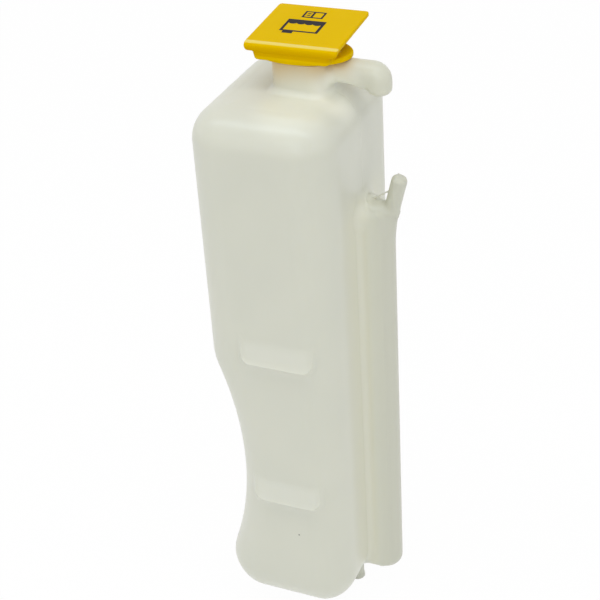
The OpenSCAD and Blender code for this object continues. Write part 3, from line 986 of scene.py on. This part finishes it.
def wave_crests(material):
    """Geometry tree: a row of flat round crests, one pitch apart."""
    tree = bpy.data.node_groups.new("wave_crests", "GeometryNodeTree")
    for name, kind in (("Count", "Int"), ("Pitch", "Float"), ("Depth", "Float"), ("Thickness", "Float")):
        tree.interface.new_socket(name, in_out="INPUT", socket_type="NodeSocket" + kind)
    for name in ("Place", "Turn"):
        tree.interface.new_socket(name, in_out="INPUT", socket_type="NodeSocketVector")
    tree.interface.new_socket("Geometry", in_out="OUTPUT", socket_type="NodeSocketGeometry")
    nodes = Nodes(tree)
    given = nodes.add("NodeGroupInput").outputs
    # A disc one unit wide, stretched so that its front half is a crest
    disc = nodes.add("GeometryNodeMeshCylinder", {"Vertices": CREST_SIDES, "Radius": 0.5, "Depth": 1.0})
    height = nodes.math("MULTIPLY", given["Depth"], 2.0)
    stretch = nodes.add("ShaderNodeCombineXYZ", {"X": given["Pitch"], "Y": height, "Z": given["Thickness"]})
    size = {"Geometry": disc.outputs["Mesh"], "Scale": stretch.outputs[0]}
    crest = nodes.add("GeometryNodeTransform", size)
    step = nodes.add("ShaderNodeCombineXYZ", {"X": given["Pitch"]})
    row = nodes.add("GeometryNodeMeshLine", {"Count": given["Count"], "Offset": step.outputs[0]})
    crests = {"Points": row.outputs[0], "Instance": crest.outputs[0]}
    copies = nodes.add("GeometryNodeInstanceOnPoints", crests)
    solid = nodes.add("GeometryNodeRealizeInstances", {"Geometry": copies.outputs[0]})
    put = {"Geometry": solid.outputs[0], "Translation": given["Place"], "Rotation": given["Turn"]}
    placed = nodes.add("GeometryNodeTransform", put)
    inked = nodes.add("GeometryNodeSetMaterial", {"Geometry": placed.outputs[0], "Material": material})
    nodes.add("NodeGroupOutput", {"Geometry": inked.outputs[0]})
    return tree


def make_waves(material):
    """The crests along the vessel's level."""
    made = new_object("level_waves", bpy.data.meshes.new("level_waves"))
    grow = made.modifiers.new("grow", "NODES")
    grow.node_group = wave_crests(material)
    values = {
        "Count": WAVE_COUNT, "Pitch": WAVE_PITCH * MM, "Depth": WAVE_DEPTH * MM, "Thickness": WAVE_T * MM,
        "Place": in_metres(*on_plate(LEVEL_LEFT + WAVE_PITCH / 2, WAVE_ALONG)),
        "Turn": (PLATE_SLOPE, 0.0, 0.0),
    }
    for item in grow.node_group.interface.items_tree:
        if item.in_out == "INPUT":
            grow[item.identifier] = values[item.name]
    make_plain(made)
    return made


def make_floor(material):
    """A round floor a little under the peg."""
    level = PEG_LOW_Z - FLOOR_GAP
    points = [(0, 0, level)]
    for radius in FLOOR_RINGS:
        for i in range(FLOOR_SIDES):
            turn = 2 * math.pi * i / FLOOR_SIDES
            points.append((radius * math.cos(turn), radius * math.sin(turn), level))
    faces = []
    for i in range(FLOOR_SIDES):
        j = (i + 1) % FLOOR_SIDES
        faces.append([0, 1 + i, 1 + j])
        for ring in range(len(FLOOR_RINGS) - 1):
            inner = 1 + ring * FLOOR_SIDES
            outer = inner + FLOOR_SIDES
            faces.append([inner + i, outer + i, outer + j, inner + j])
    floor = mesh_object("floor", points, faces)
    floor.data.materials.append(material)


# The studio

def camera_axes(azimuth, elevation, roll):
    """The camera's right, up and back directions as the columns of a matrix."""
    a, e, r = (math.radians(value) for value in (azimuth, elevation, roll))
    back = np.array([math.sin(a) * math.cos(e), -math.cos(a) * math.cos(e), math.sin(e)])
    level = np.array([math.cos(a), math.sin(a), 0.0])
    raised = np.cross(back, level)
    right = math.cos(r) * level - math.sin(r) * raised
    up = np.cross(back, right)
    return np.stack([right, up, back], 1)


def placed(made, place, axes):
    """Puts a camera or lamp at a place, turned so that its axes are the matrix's columns."""
    made.matrix_world = Matrix.Translation(place) @ Matrix(axes.tolist()).to_4x4()


def make_camera():
    """The photograph's viewpoint."""
    data = bpy.data.cameras.new("viewpoint")
    data.sensor_width = 36.0
    data.lens = CAMERA_LENS
    data.clip_start = 0.01
    data.clip_end = 20.0
    camera = new_object("viewpoint", data)
    placed(camera, CAMERA_PLACE, camera_axes(CAMERA_AZIMUTH, CAMERA_ELEVATION, CAMERA_ROLL))
    bpy.context.scene.camera = camera


def soft_lamp(name, place, aim, width, depth, power):
    """A rectangular area lamp that looks at a point."""
    data = bpy.data.lights.new(name, "AREA")
    data.shape = "RECTANGLE"
    data.size = width
    data.size_y = depth
    data.energy = power
    back = np.array(place, float) - np.array(aim, float)
    back /= np.linalg.norm(back)
    side = np.cross((0, 0, 1), back)
    side /= np.linalg.norm(side)
    placed(new_object(name, data), place, np.stack([side, np.cross(back, side), back], 1))


def make_world():
    """Soft plain light all round, and a white background."""
    world = bpy.data.worlds.new("studio")
    bpy.context.scene.world = world
    world.use_nodes = True
    nodes = Nodes(world.node_tree)
    nodes.tree.nodes.clear()
    white = nodes.add("ShaderNodeBackground", {"Color": (1, 1, 1, 1), "Strength": 1.0})
    soft = nodes.add("ShaderNodeBackground", {"Color": (1, 1, 1, 1), "Strength": WORLD_LIGHT})
    shares = {0: nodes.seen_directly(), 1: soft.outputs[0], 2: white.outputs[0]}
    mixed = nodes.add("ShaderNodeMixShader", shares)
    nodes.add("ShaderNodeOutputWorld", {"Surface": mixed.outputs[0]})


def main():
    bpy.context.scene.view_settings.view_transform = "Standard"
    make_camera()
    grain = moulded_grain()
    milky = milky_plastic(grain)
    yellow = yellow_plastic(grain)
    tank = make_tank(milky)
    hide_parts("tank")
    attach(tank, "bottle")
    cap = make_cap(yellow)
    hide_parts("cap")
    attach(cap, "filler_cap")
    ink = print_ink()
    for printed in (make_print(ink), make_waves(ink)):
        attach(printed, "filler_cap")
    make_floor(white_floor())
    make_world()
    for lamp in LAMPS:
        soft_lamp(*lamp)


main()
